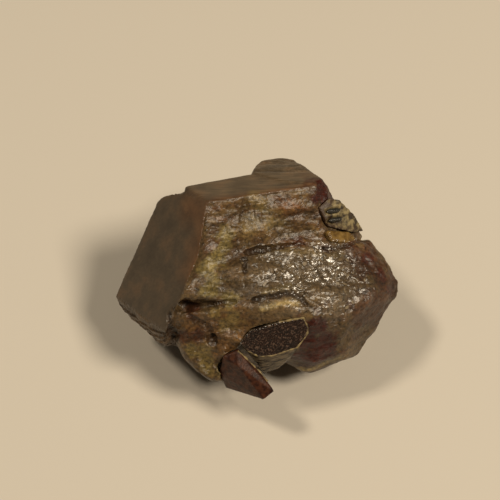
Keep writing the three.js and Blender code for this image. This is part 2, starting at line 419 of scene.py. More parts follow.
# %% [markdown]
# Open marks first: the long crack that splits the upper front from the lower body, the short slit
# above the notch, the edges of layers, and the dark ledge over the dark crystal. Each is a groove
# with its own width and depth. The lips under the ledge and the crack stand out and catch the
# light. Before the grooves are cut, two joins are run smooth, as the real ones are: the one
# between the upper and lower body at the left, and the notch's right end, which is a fine crack.

# %% Places of the grooves and lips
CRACK = [(0.467, 0.455, 0.776), (0.504, 0.470, 0.769), (0.544, 0.486, 0.760), (0.595, 0.504, 0.746),
         (0.646, 0.520, 0.729), (0.696, 0.509, 0.739), (0.741, 0.509, 0.720), (0.783, 0.531, 0.700),
         (0.822, 0.557, 0.675), (0.871, 0.612, 0.629)]
SLIT = [(0.455, 0.418, 0.794), (0.460, 0.354, 0.769)]
LAYER_EDGE = [(0.463, 0.611, 0.943), (0.453, 0.573, 0.909), (0.447, 0.529, 0.867),
              (0.440, 0.488, 0.828)]
BAND = [(0.605, 0.602, 0.843), (0.656, 0.625, 0.834), (0.707, 0.627, 0.803)]
LEDGE = [(0.493, 0.242, 0.712), (0.526, 0.254, 0.719), (0.559, 0.259, 0.718), (0.592, 0.271, 0.720),
         (0.616, 0.276, 0.716), (0.642, 0.262, 0.703), (0.662, 0.242, 0.675)]
NOTCH_MOUTH = [(0.225, 0.222, 0.664), (0.269, 0.282, 0.589), (0.327, 0.261, 0.644),
               (0.408, 0.228, 0.700)]
NOTCH_CRACK = [(0.320, 0.262, 0.650), (0.370, 0.245, 0.680), (0.425, 0.235, 0.705)]
HEEL_SLOT = [(0.208, 0.210, 0.629), (0.212, 0.169, 0.601), (0.213, 0.185, 0.458)]
SCRATCH = [(0.271, 0.208, 0.623), (0.338, 0.165, 0.599)]
PIT = [(0.341, 0.180, 0.570), (0.356, 0.145, 0.495)]
GROOVES = [  # places, half width and depth in mm
    (CRACK, 0.36, 0.38),
    (SLIT, 0.32, 0.38),
    (LAYER_EDGE, 0.45, 0.16),
    (BAND, 0.55, 0.16),
    (LEDGE, 0.45, 0.40),
    (HEEL_SLOT, 0.50, 0.42),
    (NOTCH_CRACK, 0.26, 0.22),
    (SCRATCH, 0.30, 0.20),
    (PIT, 0.42, 0.28),
]
LEDGE_LIP = [(0.526, 0.270, 0.727), (0.566, 0.288, 0.730), (0.609, 0.311, 0.727)]
CRACK_LIP = [(0.500, 0.440, 0.752), (0.600, 0.470, 0.735), (0.700, 0.470, 0.720),
             (0.790, 0.490, 0.690)]
BODY_JOIN = [(0.455, 0.418, 0.794), (0.400, 0.380, 0.785), (0.355, 0.330, 0.765),
             (0.310, 0.300, 0.750)]
NOTCH_TIP = [(0.330, 0.262, 0.650), (0.370, 0.245, 0.672), (0.415, 0.228, 0.700)]
JOINS = [  # places, reach in mm, unevenness and rounds
    (BODY_JOIN, 2.2, 0.2, 30),
    (NOTCH_TIP, 1.1, 0.1, 40),
]

# %% Run the joins smooth, then cut the grooves
LIP_HEIGHT = 0.13 * MM
DARKEST, DARK_DEPTH = 0.85, 0.4  # a groove of this depth in mm or more is as dark as it gets

for places, reach, unevenness, rounds in JOINS:
    share = line(places, reach * MM, unevenness)[:, None]
    for _ in range(rounds):
        points = points + RUN_STEP * share * (neighbour_mean(points) - points)
move_points(skin, points)
skin_normals = normals_of(skin)
# Grooves and the notch mouth get a painted shade, darker the deeper the groove.
crevice = 0.4 * line(NOTCH_MOUTH, 0.7 * MM)
sunk = np.zeros(count)
for places, half_width, depth in GROOVES:
    sunk = np.maximum(sunk, line(places, half_width * MM) * depth * MM)
    darkness = line(places, 1.1 * half_width * MM) * min(DARKEST, depth / DARK_DEPTH)
    crevice = np.maximum(crevice, darkness)
lip = np.maximum(line(LEDGE_LIP, 0.7 * MM), 0.5 * line(CRACK_LIP, 0.6 * MM))
points = points + skin_normals * (LIP_HEIGHT * lip - sunk)[:, None]
move_points(skin, points)
print("deepest groove, mm:", round(float(sunk.max()) / MM, 2))

# %% [markdown]
# Then the colours. Iron makes the red-brown zones, thin clear crystal looks gold where light comes
# back through it, and the broken rims are pale with powder; the raised lips get the same pale as a
# painted highlight. The glint zone is where the front was etched down to hundreds of tiny cleavage
# steps that face the light, and its paler grey is a painted sheen. The bevel between the end face,
# the top and the front is a redder brown, the top face gets a paler grey as a painted sheen, and
# the body below the upper front is more olive. The grooves get a painted shade, darker where they
# are deeper.

# %% Places of the colours
RED_ZONES = [  # places, reach in mm and strength
    ([(0.696, 0.164, 0.571), (0.719, 0.141, 0.466), (0.687, 0.108, 0.378), (0.665, 0.135, 0.478),
      (0.655, 0.120, 0.400), (0.690, 0.095, 0.310), (0.730, 0.120, 0.400)], 2.9, 1.0),
    ([(0.881, 0.512, 0.623), (0.933, 0.454, 0.563), (0.958, 0.407, 0.502)], 1.5, 0.9),
    ([(0.87, 0.50, 0.60), (0.93, 0.42, 0.50), (0.90, 0.36, 0.45), (0.84, 0.33, 0.50)], 4.4, 0.62),
    ([(0.722, 0.732, 0.873), (0.736, 0.713, 0.815), (0.745, 0.690, 0.780)], 2.7, 1.0),
    ([(0.646, 0.520, 0.729), (0.741, 0.509, 0.720), (0.822, 0.557, 0.675)], 1.1, 0.7),
    ([(0.292, 0.140, 0.540), (0.262, 0.165, 0.500), (0.285, 0.250, 0.610)], 1.5, 0.75),
    ([(0.505, 0.500, 0.800), (0.560, 0.530, 0.800)], 1.2, 0.35),
]
GOLD_SPOTS = [(0.391, 0.489, 0.861), (0.387, 0.459, 0.832), (0.355, 0.318, 0.761),
              (0.331, 0.372, 0.775), (0.357, 0.397, 0.785), (0.342, 0.280, 0.736),
              (0.411, 0.247, 0.721), (0.370, 0.430, 0.800)]
FOOT_GOLD = [(0.326, 0.055, 0.425), (0.276, 0.110, 0.478), (0.376, 0.071, 0.403),
             (0.310, 0.090, 0.480)]
FOOT_TOP = [(0.394, 0.165, 0.618), (0.361, 0.207, 0.664), (0.427, 0.187, 0.643)]
SWIRL = [(0.517, 0.621, 0.919), (0.561, 0.566, 0.833), (0.477, 0.562, 0.883)]
GOLD_ZONES = [  # places, reach in mm and strength
    (GOLD_SPOTS, 1.5, 1.0),
    (FOOT_GOLD, 1.8, 0.75),
    (FOOT_TOP, 1.5, 0.6),
    (SWIRL, 2.2, 0.45),
]
FOOT = [(0.30, 0.12, 0.55), (0.36, 0.10, 0.50), (0.40, 0.18, 0.62)]
GLINT_ZONE = [(0.765, 0.434, 0.690), (0.701, 0.402, 0.721), (0.633, 0.372, 0.737),
              (0.750, 0.462, 0.709)]
GLINT_SKIRT = [(0.56, 0.40, 0.73), (0.62, 0.30, 0.70), (0.75, 0.30, 0.62), (0.82, 0.36, 0.60)]
PALE_RIMS = [  # places and reach in mm
    ([(0.649, 0.120, 0.244), (0.717, 0.115, 0.277), (0.784, 0.130, 0.332)], 0.8),
    ([(0.516, 0.214, 0.679), (0.549, 0.226, 0.686), (0.592, 0.241, 0.695), (0.635, 0.241, 0.685)],
     0.55),
]
BEVEL = [(0.276, 0.618, 0.906), (0.311, 0.553, 0.941), (0.332, 0.521, 0.932),
         (0.322, 0.455, 0.901), (0.310, 0.397, 0.876), (0.290, 0.345, 0.822)]
RIDGE = [(0.338, 0.587, 1.0), (0.699, 0.729, 0.915)]

# %% Colour fields
LAYER_START = (0.334, 0.613, 1.0)  # the ribs' layers are counted from here
REAR_LAYER = 0.85  # the layer that stands out behind the top starts at this share of the width
BARE_BASE = 0.5 * MM  # the base is a plain break up to this height


def zones(marks):
    """Patches of several reaches and strengths in one field."""
    field = np.zeros(count)
    for places, reach, strength in marks:
        field = np.maximum(field, strength * blobs(places, reach * MM))
    return field


red = zones(RED_ZONES)
gold = zones(GOLD_ZONES)
# The glint field sets gloss, facets and flakes, and a paler grey colour that is a painted sheen.
glint = np.maximum(blobs(GLINT_ZONE, 3.4 * MM, 0.5), 0.45 * blobs(GLINT_SKIRT, 3.6 * MM, 0.6))
glint = np.maximum(glint, 0.5 * line(LEDGE_LIP, 1.6 * MM))
foot = blobs(FOOT, 4.0 * MM, 0.4)
# The raised lips get the pale colour as a painted highlight; the broken rims are pale with powder.
pale = 0.8 * lip
for places, reach in PALE_RIMS:
    pale = np.maximum(pale, line(places, reach * MM))
bevel = np.maximum(line(BEVEL, 3.2 * MM, 0.25), 0.9 * line(RIDGE, 1.5 * MM)) * clean
olive = (1 - softened(on_front, 24)) * (1 - 0.7 * foot) * 0.75
# The top face gets a paler grey colour than the end face: a painted sheen.
top = softened(on_top, 2)
on_rear = ((points[:, 1] > spot(0, REAR_LAYER, 0).y) & (on_top > 0)).astype(float)
wide_clean = softened(np.maximum(on_end, on_top), 8)
etch = np.clip(1 - np.maximum(clean, wide_clean) + 0.35 * softened(on_rear, 3), 0, 1)
etch = etch * (points[:, 2] > BARE_BASE)
layer = (np.array(END_NORMAL) @ points.T) - float(END_NORMAL @ spot(*LAYER_START))


def mark(mesh, **fields):
    """Keeps fields on the mesh as attributes, for its Geometry Nodes tree and its material."""
    for name, values in fields.items():
        held = mesh.attributes.new(name, "FLOAT", "POINT")
        held.data.foreach_set("value", np.asarray(values, np.float32))


mark(skin, foot=foot, olive=olive, etch=etch, red=red, gold=gold, glint=glint, pale=pale,
     crevice=crevice, clean=clean, top=top, bevel=bevel, ribs=ribs, layer=layer)
print("glint zone points:", int((glint > 0.3).sum()), "red:", int((red > 0.3).sum()))

# %% [markdown]
# ## The etched relief, as a Geometry Nodes tree
#
# Hot water ate the crystal along its weak planes. It left a relief on four scales: slow swells,
# ridges, a fine grain, all drawn out along the crystal, and little flat facets at many slopes,
# which are what glitters. All of it follows one rule, so one tree makes it for every crystal here,
# with its sizes as inputs. Each scale pushes the skin in or out, held back where the skin grew
# clean. The tree also keeps the total push as "relief", so that a material can paint shade into
# the hollows and a highlight onto the crests. The underside of the clean end shows growth layers
# as ribs, one more term in the same sum.


# %% Tree helpers
def node_tree(name, numbers):
    """A Geometry Nodes tree with a geometry, named numbers and a material as its inputs."""
    tree = bpy.data.node_groups.new(name, "GeometryNodeTree")
    socket = tree.interface.new_socket
    socket("Geometry", in_out="INPUT", socket_type="NodeSocketGeometry")
    for label, value in numbers.items():
        kind = "NodeSocketInt" if isinstance(value, int) else "NodeSocketFloat"
        socket(label, in_out="INPUT", socket_type=kind).default_value = value
    socket("Material", in_out="INPUT", socket_type="NodeSocketMaterial")
    socket("Geometry", in_out="OUTPUT", socket_type="NodeSocketGeometry")
    return tree, put(tree, "NodeGroupInput").outputs


def finish_tree(tree, geometry, material):
    """Makes instances real and paints the result."""
    whole = put(tree, "GeometryNodeRealizeInstances", {"Geometry": geometry}).outputs[0]
    painted = put(tree, "GeometryNodeSetMaterial", {"Geometry": whole, "Material": material})
    put(tree, "NodeGroupOutput", {"Geometry": painted.outputs[0]})


def grown(mesh, tree, material, **sizes):
    """The plain mesh that the tree makes from a mesh. A size's name has _ for each space."""
    holder = bpy.data.objects.new("holder", mesh)
    bpy.context.scene.collection.objects.link(holder)
    modifier = holder.modifiers.new("growth", "NODES")
    modifier.node_group = tree
    values = {name.replace("_", " "): value for name, value in sizes.items()}
    values["Material"] = material
    for socket in tree.interface.items_tree:
        if socket.in_out == "INPUT" and socket.name in values:
            modifier[socket.identifier] = values[socket.name]
    graph = bpy.context.evaluated_depsgraph_get()
    result = bpy.data.meshes.new_from_object(holder.evaluated_get(graph))
    bpy.data.objects.remove(holder)
    return result


def read(tree, name):
    """A field that the mesh keeps, as a socket."""
    return put(tree, "GeometryNodeInputNamedAttribute", {"Name": name}, data_type="FLOAT").outputs[0]


# %% The sizes of the relief
SCALES = {  # size and depth on the main crystal, octaves, kind of noise, and the noise's middle
    "Swell": (2.6 * MM, 1.5 * MM, 1.0, "FBM", 0.5),
    "Ridge": (1.1 * MM, 0.15 * MM, 1.5, "RIDGED_MULTIFRACTAL", 1.0),
    "Grain": (0.42 * MM, 0.16 * MM, 2.0, "FBM", 0.5),
}
numbers = {}
for scale_name, (size, depth, _, _, _) in SCALES.items():
    numbers[scale_name + " Size"] = size
    numbers[scale_name + " Depth"] = depth
numbers.update({"Facet Size": 0.9 * MM, "Facet Slope": 0.7, "Rib Size": 0.55 * MM,
                "Rib Depth": 0.16 * MM, "Stretch": 2.2, "Seed": 7.0})
FACETS_IN_GLINT, FACETS_ELSEWHERE = 0.40, 0.12  # the share of the slope that a facet gets
ROUGH_GLINT, ROUGH_FOOT, ROUGH_ELSEWHERE = 0.8, 0.7, 0.9  # the first two add to the third

# %% The etched skin tree
CENTRED = (-0.5, -0.5, -0.5)  # turns a random colour into a random direction


def facet_rise(tree, here, per_metre):
    """How far little flat facets rise: each Voronoi cell slopes its own way about its middle."""
    cells = put(tree, "ShaderNodeTexVoronoi", {"Vector": here, "Scale": per_metre}).outputs
    way = put(tree, "ShaderNodeVectorMath", {0: cells["Color"], 1: CENTRED},
              operation="ADD").outputs[0]
    arm = put(tree, "ShaderNodeVectorMath", {0: here, 1: cells["Position"]},
              operation="SUBTRACT").outputs[0]
    return put(tree, "ShaderNodeVectorMath", {0: way, 1: arm},
               operation="DOT_PRODUCT").outputs["Value"]


etched, given = node_tree("etched skin", numbers)
here = put(etched, "GeometryNodeInputPosition").outputs[0]
outward = put(etched, "GeometryNodeInputNormal").outputs[0]
squeeze = put(etched, "ShaderNodeMath", {0: 1.0, 1: given["Stretch"]}, operation="DIVIDE").outputs[0]
along = put(etched, "ShaderNodeCombineXYZ", {"X": squeeze, "Y": 1.0, "Z": 1.0}).outputs[0]
drawn_out = put(etched, "ShaderNodeVectorMath", {0: here, 1: along}, operation="MULTIPLY").outputs[0]
push = 0.0
for scale_name, (_, _, detail, kind, middle) in SCALES.items():
    per_metre = put(etched, "ShaderNodeMath", {0: 1.0, 1: given[scale_name + " Size"]},
                    operation="DIVIDE").outputs[0]
    pattern = put(etched, "ShaderNodeTexNoise",
                  {"Vector": drawn_out, "W": given["Seed"], "Scale": per_metre, "Detail": detail},
                  noise_dimensions="4D", noise_type=kind).outputs[0]
    centred = put(etched, "ShaderNodeMath", {0: pattern, 1: -middle}, operation="ADD").outputs[0]
    push = put(etched, "ShaderNodeMath", {0: centred, 1: given[scale_name + " Depth"], 2: push},
               operation="MULTIPLY_ADD").outputs[0]

# A facet is a Voronoi cell with a slope of its own: its height grows along a random direction.
per_metre = put(etched, "ShaderNodeMath", {0: 1.0, 1: given["Facet Size"]},
                operation="DIVIDE").outputs[0]
facets = put(etched, "ShaderNodeMath",
             {0: facet_rise(etched, here, per_metre), 1: given["Facet Slope"]},
             operation="MULTIPLY").outputs[0]
broken = put(etched, "ShaderNodeMath",
             {0: read(etched, "glint"), 1: FACETS_IN_GLINT, 2: FACETS_ELSEWHERE},
             operation="MULTIPLY_ADD").outputs[0]
push = put(etched, "ShaderNodeMath", {0: facets, 1: broken, 2: push},
           operation="MULTIPLY_ADD").outputs[0]
bitten = put(etched, "ShaderNodeMath", {0: read(etched, "foot"), 1: ROUGH_FOOT, 2: ROUGH_ELSEWHERE},
             operation="MULTIPLY_ADD").outputs[0]
rough = put(etched, "ShaderNodeMath", {0: read(etched, "glint"), 1: ROUGH_GLINT, 2: bitten},
            operation="MULTIPLY_ADD").outputs[0]
strength = put(etched, "ShaderNodeMath", {0: rough, 1: read(etched, "etch")},
               operation="MULTIPLY").outputs[0]
etched_push = put(etched, "ShaderNodeMath", {0: push, 1: strength}, operation="MULTIPLY").outputs[0]

# Ribs count the growth layers below the clean end face.
turn = put(etched, "ShaderNodeMath", {0: read(etched, "layer"), 1: given["Rib Size"]},
           operation="DIVIDE").outputs[0]
tooth = put(etched, "ShaderNodeMath", {0: turn}, operation="FRACT").outputs[0]
deep = put(etched, "ShaderNodeMath", {0: read(etched, "ribs"), 1: given["Rib Depth"]},
           operation="MULTIPLY").outputs[0]
total = put(etched, "ShaderNodeMath", {0: tooth, 1: deep, 2: etched_push},
            operation="MULTIPLY_ADD").outputs[0]
shift = put(etched, "ShaderNodeVectorMath", {0: outward, "Scale": total}, operation="SCALE").outputs[0]
kept = put(etched, "GeometryNodeStoreNamedAttribute",
           {"Geometry": given["Geometry"], "Name": "relief", "Value": total},
           data_type="FLOAT", domain="POINT").outputs[0]
moved = put(etched, "GeometryNodeSetPosition", {"Geometry": kept, "Offset": shift}).outputs[0]
finish_tree(etched, moved, given["Material"])
print("etched skin:", len(etched.nodes), "nodes")

# %% [markdown]
# ## Minerals
#
# Bastnaesite is waxy to greasy and bends light strongly, with an index of about 1.72, so even a
# rough patch has a clear sheen. Its brown comes from iron and changes over a few millimetres.
# The fields made above choose between its colours. A bump adds what the skin's points are too
# coarse for: grains of about 0.26 mm, the crisp sides of facets of 0.75 mm, which glitter as the
# big ones do, and of creases about 0.8 mm apart.


# %% Bastnaesite
BASTNAESITE_IOR = 1.72


def mineral(name, dull, bright, patch_mm, roughness, ior, edges=(0.36, 0.64)):
    """A mineral whose colour drifts between two browns over patches of the given size."""
    material = bpy.data.materials.new(name)
    material.use_nodes = True
    tree = material.node_tree
    shader = tree.nodes["Principled BSDF"]
    shader.inputs["IOR"].default_value = ior
    shader.inputs["Roughness"].default_value = roughness
    place = put(tree, "ShaderNodeTexCoord").outputs["Object"]
    drift = put(tree, "ShaderNodeTexNoise",
                {"Vector": place, "Scale": 1 / (patch_mm * MM), "Detail": 4.0}).outputs[0]
    spread = put(tree, "ShaderNodeMapRange",
                 {"Value": drift, "From Min": edges[0], "From Max": edges[1]}).outputs[0]
    colour = put(tree, "ShaderNodeMix", {0: spread, 6: linear(dull), 7: linear(bright)},
                 data_type="RGBA").outputs[2]
    return material, tree, shader, place, colour


# Some layers are painted light: the paler greys of the top and of the glint zone are painted sheen, the
# pale on the raised lips is a painted highlight, and the groove colour is painted shade.
LAYERS = (  # each field lays its own colour over the ones before it
    ("olive", "#5a4931"), ("foot", "#6a4c2b"), ("clean", "#4d4133"), ("top", "#5f503d"),
    ("ribs", "#4e3d2b"), ("bevel", "#62462e"), ("glint", "#75634a"), ("gold", "#7f6e3f"),
    ("red", "#3c1409"), ("pale", "#8a774d"), ("crevice", "#2a1a0f"),
)
BAND_COLOUR, STAIN_COLOUR = "#5a3a1c", "#5a412b"
BAND_WIDTH, LINE_WIDTH, CLOUD_SIZE = 1.1 * MM, 0.32 * MM, 2.2 * MM
SPECK_SIZE, GRAIN_SIZE, FACET_SIZE, CREASE_SIZE = 0.38 * MM, 0.26 * MM, 0.75 * MM, 0.80 * MM
# Painted shade in the hollows and painted highlight on the crests are fullest at this depth.
DEEPEST_RELIEF = 0.22 * MM  # hollows this deep are darkest


def crystal_skin_colour(tree, place, colour, fields):
    """The skin's two browns, bands, zones, growth lines, stain, specks and painted shade and highlight.
    """
    # Bands of different age run along the crystal, a little over 1 mm apart.
    banding = put(tree, "ShaderNodeMapping", {"Vector": place, "Rotation": (0.0, 0.10, 0.05),
                                              "Scale": (0.22, 1.0, 1.0)}).outputs[0]
    bands = put(tree, "ShaderNodeTexNoise",
                {"Vector": banding, "Scale": 1 / BAND_WIDTH, "Detail": 3.0}).outputs[0]
    band = put(tree, "ShaderNodeMapRange",
               {"Value": bands, "From Min": 0.42, "From Max": 0.66}).outputs[0]
    colour = put(tree, "ShaderNodeMix", {0: band, 6: colour, 7: linear(BAND_COLOUR)},
                 data_type="RGBA").outputs[2]
    for field, hex_colour in LAYERS:
        colour = put(tree, "ShaderNodeMix", {0: fields[field], 6: colour, 7: linear(hex_colour)},
                     data_type="RGBA").outputs[2]

    # Clean faces keep clouds of iron stain, and faint growth lines that show best on the top.
    clouds = put(tree, "ShaderNodeTexNoise",
                 {"Vector": place, "Scale": 1 / CLOUD_SIZE, "Detail": 5.0}).outputs[0]
    stain = put(tree, "ShaderNodeMapRange",
                {"Value": clouds, "From Min": 0.5, "From Max": 0.7, "To Max": 0.40}).outputs[0]
    stained = put(tree, "ShaderNodeMath", {0: stain, 1: fields["clean"]},
                  operation="MULTIPLY").outputs[0]
    colour = put(tree, "ShaderNodeMix", {0: stained, 6: colour, 7: linear(STAIN_COLOUR)},
                 data_type="RGBA").outputs[2]
    lines = put(tree, "ShaderNodeMapping", {"Vector": place, "Rotation": (0.0, 0.12, 0.06),
                                            "Scale": (0.12, 1.0, 1.0)}).outputs[0]
    growth = put(tree, "ShaderNodeTexNoise",
                 {"Vector": lines, "Scale": 1 / LINE_WIDTH, "Detail": 3.0}).outputs[0]
    faint = put(tree, "ShaderNodeMapRange", {"Value": growth, "From Min": 0.3, "From Max": 0.7,
                                             "To Min": 0.62, "To Max": 1.38}).outputs[0]
    shown = put(tree, "ShaderNodeMath", {0: fields["top"], 1: 0.7, 2: 0.3},
                operation="MULTIPLY_ADD").outputs[0]
    lined = put(tree, "ShaderNodeMix", {0: shown, 2: 1.0, 3: faint}).outputs[0]
    cloudy = put(tree, "ShaderNodeMapRange", {"Value": clouds, "From Min": 0.34, "From Max": 0.66,
                                              "To Min": 0.76, "To Max": 1.24}).outputs[0]
    mottled = put(tree, "ShaderNodeMix", {0: fields["clean"], 2: 1.0, 3: cloudy}).outputs[0]

    # Painted shade darkens the hollows and a painted highlight lightens the crests; specks lie over all.
    height = put(tree, "ShaderNodeMapRange",
                 {"Value": fields["relief"], "From Min": -DEEPEST_RELIEF,
                  "From Max": DEEPEST_RELIEF, "To Min": 0.62, "To Max": 1.28}).outputs[0]
    specks = put(tree, "ShaderNodeTexNoise", {"Vector": place, "Scale": 1 / SPECK_SIZE,
                                              "Detail": 6.0, "Roughness": 0.65}).outputs[0]
    strong = put(tree, "ShaderNodeMapRange",
                 {"Value": fields["etch"], "To Min": 1.06, "To Max": 1.75}).outputs[0]
    weak = put(tree, "ShaderNodeMapRange",
               {"Value": fields["etch"], "To Min": 0.94, "To Max": 0.35}).outputs[0]
    speck = put(tree, "ShaderNodeMapRange", {"Value": specks, "From Min": 0.33, "From Max": 0.67,
                                             "To Min": weak, "To Max": strong}).outputs[0]
    for shade in (lined, mottled, height, speck):
        colour = put(tree, "ShaderNodeVectorMath", {0: colour, "Scale": shade},
                     operation="SCALE").outputs[0]
    return colour


def crystal_skin_height(tree, place, fields):
    """The height of what is finer than the skin's points, in metres."""
    rise = facet_rise(tree, place, 1 / FACET_SIZE)
    slope = put(tree, "ShaderNodeMath", {0: fields["glint"], 1: 0.30, 2: 0.2},
                operation="MULTIPLY_ADD").outputs[0]
    sloped = put(tree, "ShaderNodeMath", {0: rise, 1: slope}, operation="MULTIPLY").outputs[0]
    facets = put(tree, "ShaderNodeMath", {0: sloped, 1: fields["etch"]},
                 operation="MULTIPLY").outputs[0]
    grain = put(tree, "ShaderNodeTexNoise",
                {"Vector": place, "Scale": 1 / GRAIN_SIZE, "Detail": 4.0}).outputs[0]
    depth = put(tree, "ShaderNodeMapRange", {"Value": fields["etch"], "To Min": 0.002 * MM,
                                             "To Max": 0.04 * MM}).outputs[0]
    grained = put(tree, "ShaderNodeMath", {0: grain, 1: depth, 2: facets},
                  operation="MULTIPLY_ADD").outputs[0]

    # Creases run between the etched steps, twice as long as they are wide.
    drawn = put(tree, "ShaderNodeMapping", {"Vector": place, "Rotation": (0.0, 0.12, 0.10),
                                            "Scale": (0.5, 1.0, 1.0)}).outputs[0]
    creases = put(tree, "ShaderNodeTexNoise", {"Vector": drawn, "Scale": 1 / CREASE_SIZE,
                                               "Detail": 4.0, "Distortion": 0.6},
                  noise_type="RIDGED_MULTIFRACTAL").outputs[0]
    furrow = put(tree, "ShaderNodeMath", {0: fields["glint"], 1: -0.11 * MM, 2: -0.10 * MM},
                 operation="MULTIPLY_ADD").outputs[0]
    cut = put(tree, "ShaderNodeMath", {0: furrow, 1: fields["etch"]}, operation="MULTIPLY").outputs[0]
    return put(tree, "ShaderNodeMath", {0: creases, 1: cut, 2: grained},
               operation="MULTIPLY_ADD").outputs[0]


def crystal_skin_material():
    """Bastnaesite, waxy where it grew clean and glittering where it was etched."""
    material, tree, shader, place, colour = mineral(
        "etched bastnaesite", "#4f3a21", "#715a36", 1.6, 0.4, BASTNAESITE_IOR
    )
    fields = {}
    for field in [layer_name for layer_name, _ in LAYERS] + ["etch", "relief"]:
        fields[field] = put(tree, "ShaderNodeAttribute", attribute_name=field).outputs["Fac"]
    colour = crystal_skin_colour(tree, place, colour, fields)
    tree.links.new(colour, shader.inputs["Base Color"])

    # Etched steps in the glint zone shine, and the rest is waxy.
    gloss = put(tree, "ShaderNodeMapRange",
                {"Value": fields["glint"], "To Min": 0.40, "To Max": 0.28}).outputs[0]
    sheen = put(tree, "ShaderNodeMapRange",
                {"Value": fields["glint"], "To Min": 0.28, "To Max": 1.0}).outputs[0]
    height = crystal_skin_height(tree, place, fields)
    bump = put(tree, "ShaderNodeBump", {"Height": height, "Distance": 1.0}).outputs[0]
    tree.links.new(gloss, shader.inputs["Roughness"])
    tree.links.new(sheen, shader.inputs["Specular IOR Level"])
    tree.links.new(bump, shader.inputs["Normal"])
    return material


skin_material = crystal_skin_material()

# %% Grow the main crystal's relief
grown_skin = grown(skin, etched, skin_material)
points = points_of(grown_skin)
points[:, 2] = np.maximum(points[:, 2], 0)
move_points(grown_skin, points)
add_piece("crystal", grown_skin, skin_material, ["main_crystal"])

# %% [markdown]
# ## The small crystals
#
# Each grain in the CAD gets the same treatment on a finer mesh: remesh, mark what was cut or
# broken, and grow its relief with the same tree at other sizes. The dark one was cut across by a
# flat break, nearly black with pale specks, over a grey side with fine growth lines. The blade
# beside it is red-brown and waxy. The feldspar is chalky, with two black bars in it.

# %% Materials of the small crystals


def add_bump(tree, shader, place, grain_mm, depth_mm):
    """Gives a mineral a fine, even grain."""
    grain = put(tree, "ShaderNodeTexNoise",
                {"Vector": place, "Scale": 1 / (grain_mm * MM), "Detail": 4.0}).outputs[0]
    bump = put(tree, "ShaderNodeBump", {"Height": grain, "Distance": depth_mm * MM}).outputs[0]
    tree.links.new(bump, shader.inputs["Normal"])


def dark_material():
    """Iron-rich bastnaesite: greasy, nearly black, with powder specks on the break."""
    material, tree, shader, place, colour = mineral(
        "dark bastnaesite", "#170d08", "#24150e", 1.2, 0.22, BASTNAESITE_IOR
    )
    specks = put(tree, "ShaderNodeTexNoise",
                 {"Vector": place, "Scale": 1 / (0.22 * MM), "Detail": 3.0}).outputs[0]
    speck = put(tree, "ShaderNodeMapRange",
                {"Value": specks, "From Min": 0.53, "From Max": 0.68}).outputs[0]
    colour = put(tree, "ShaderNodeMix", {0: speck, 6: colour, 7: linear("#5c483c")},
                 data_type="RGBA").outputs[2]

    # The side is grey and duller, with fine growth lines.
    side = put(tree, "ShaderNodeAttribute", attribute_name="side").outputs["Fac"]
    lines = put(tree, "ShaderNodeMapping", {"Vector": place, "Rotation": (0.0, -0.35, 0.0),
                                            "Scale": (0.25, 0.25, 1.0)}).outputs[0]
    growth = put(tree, "ShaderNodeTexNoise",
                 {"Vector": lines, "Scale": 1 / (0.24 * MM), "Detail": 2.0}).outputs[0]
    grey = put(tree, "ShaderNodeMapRange",
               {"Value": growth, "From Min": 0.35, "From Max": 0.65}).outputs[0]
    grey_colour = put(tree, "ShaderNodeMix",
                      {0: grey, 6: linear("#1f1710"), 7: linear("#685b48")},
                      data_type="RGBA").outputs[2]
    colour = put(tree, "ShaderNodeMix", {0: side, 6: colour, 7: grey_colour},
                 data_type="RGBA").outputs[2]
    tree.links.new(colour, shader.inputs["Base Color"])
    sheen = put(tree, "ShaderNodeMapRange",
                {"Value": side, "To Min": 0.5, "To Max": 0.15}).outputs[0]
    tree.links.new(sheen, shader.inputs["Specular IOR Level"])
    add_bump(tree, shader, place, 0.15, 0.05)
    return material


def plain_mineral(name, dull, bright, patch_mm, roughness, ior, bump_mm):
    """A mineral of two mixed colours with a fine grain, and nothing else."""
    material, tree, shader, place, colour = mineral(name, dull, bright, patch_mm, roughness, ior)
    tree.links.new(colour, shader.inputs["Base Color"])
    add_bump(tree, shader, place, 0.18, bump_mm)
    return material


def feldspar_material():
    """Weathered feldspar: chalky, with iron that seeped in where it touches the main crystal."""
    material, tree, shader, place, colour = mineral(
        "weathered feldspar", "#32281a", "#96865f", 0.7, 0.5, 1.53, edges=(0.42, 0.60)
    )
    contact = put(tree, "ShaderNodeAttribute", attribute_name="contact").outputs["Fac"]
    uneven = put(tree, "ShaderNodeTexNoise",
                 {"Vector": place, "Scale": 1 / (0.5 * MM), "Detail": 3.0}).outputs[0]
    seeped = put(tree, "ShaderNodeMath", {0: contact, 1: uneven}, operation="ADD").outputs[0]
    stain = put(tree, "ShaderNodeMapRange",
                {"Value": seeped, "From Min": 0.90, "From Max": 1.30}).outputs[0]
    colour = put(tree, "ShaderNodeMix", {0: stain, 6: colour, 7: linear("#402c1b")},
                 data_type="RGBA").outputs[2]
    tree.links.new(colour, shader.inputs["Base Color"])
    add_bump(tree, shader, place, 0.18, 0.04)
    return material


SOFT_SHEEN = 0.13  # a weathered skin shines less than a fresh break
dark = dark_material()
brown = plain_mineral("red-brown bastnaesite", "#260f08", "#4b2a1a", 0.5, 0.42, BASTNAESITE_IOR, 0.06)
chalky = feldspar_material()
brown.node_tree.nodes["Principled BSDF"].inputs["Specular IOR Level"].default_value = SOFT_SHEEN
honey = plain_mineral("honey grain", "#5b431e", "#876b39", 0.6, 0.28, 1.6, 0.03)
black = plain_mineral("black bladed mineral", "#171612", "#2a2822", 0.5, 0.42, 1.66, 0.02)
crust = plain_mineral("clay crust", "#5f4f34", "#8f7d55", 0.5, 0.7, 1.5, 0.04)

# %% Grow the small crystals
GRAIN_CELL = 0.11 * MM
FILL = 0.12 * MM  # how far a grain grows into the clearance round it
STAIN_REACH = 2.2 * MM  # how far iron seeped in from the main crystal
ETCH_ON_BREAK = 0.25  # how much of the relief the flat break keeps
grown_tree = tree_of(grown_skin)
FLAT_BREAK = Vector((0.17, -0.78, 0.6)).normalized()


